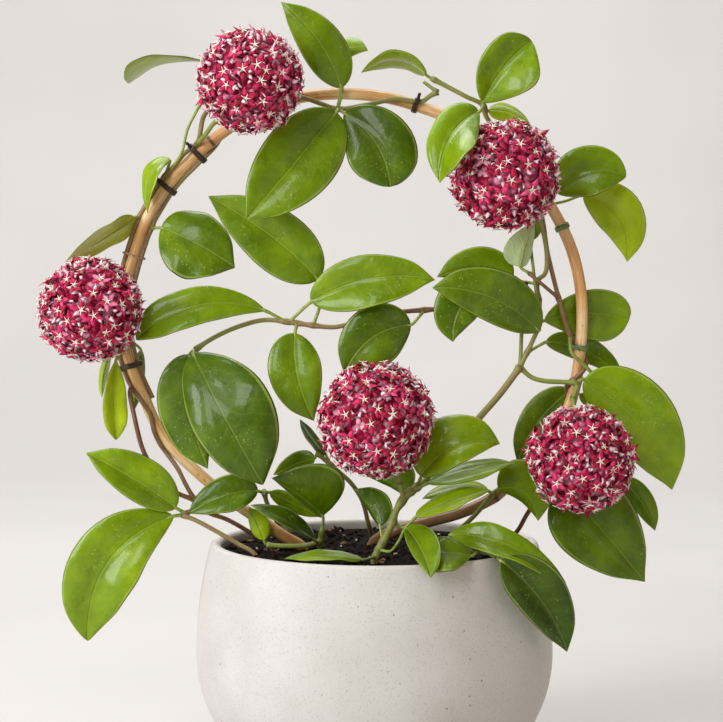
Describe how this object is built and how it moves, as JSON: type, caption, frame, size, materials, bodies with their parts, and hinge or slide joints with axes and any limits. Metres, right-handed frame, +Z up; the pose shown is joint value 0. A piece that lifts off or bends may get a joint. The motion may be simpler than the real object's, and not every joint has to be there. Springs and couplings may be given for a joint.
{
  "type": "potted hoya mindorensis",
  "caption": "Climbing hoya with round crimson flower heads and glossy oval leaves, trained round a bent cane hoop in a round off-white stoneware pot.",
  "frame": {"origin": "centre of the pot's flat foot, on the surface it stands on", "axes": "+Z up along the pot's axis; +X to the right and +Y away, seen from the front; the hoop lies in the XZ plane"},
  "size_m": [0.3509, 0.2034, 0.4237],
  "materials": {
    "pot": "satin",
    "soil": "matte",
    "cane": "satin",
    "leaf": "gloss",
    "bloom": "matte",
    "tie": "matte"
  },
  "bodies": {
    "root": {"pot": "pot", "cane_hoop": "cane", "soil": "soil", "vine_left": "leaf", "shoot_middle": "leaf", "vine_right": "leaf", "vine_hoop_right": "leaf", "shoot_low_left": "leaf", "shoot_left_back": "leaf", "shoot_left_front": "leaf", "shoot_middle_back": "leaf", "shoot_front_right": "leaf", "shoot_low_right": "leaf", "bloom_top_left": "bloom", "bloom_left": "bloom", "bloom_top_right": "bloom", "bloom_middle": "bloom", "bloom_right": "bloom", "tie_low_left": "tie", "tie_left": "tie", "tie_upper_left": "tie", "tie_top_left": "tie", "tie_top_right": "tie", "tie_upper_right": "tie", "tie_right": "tie"}
  },
  "joints": []
}
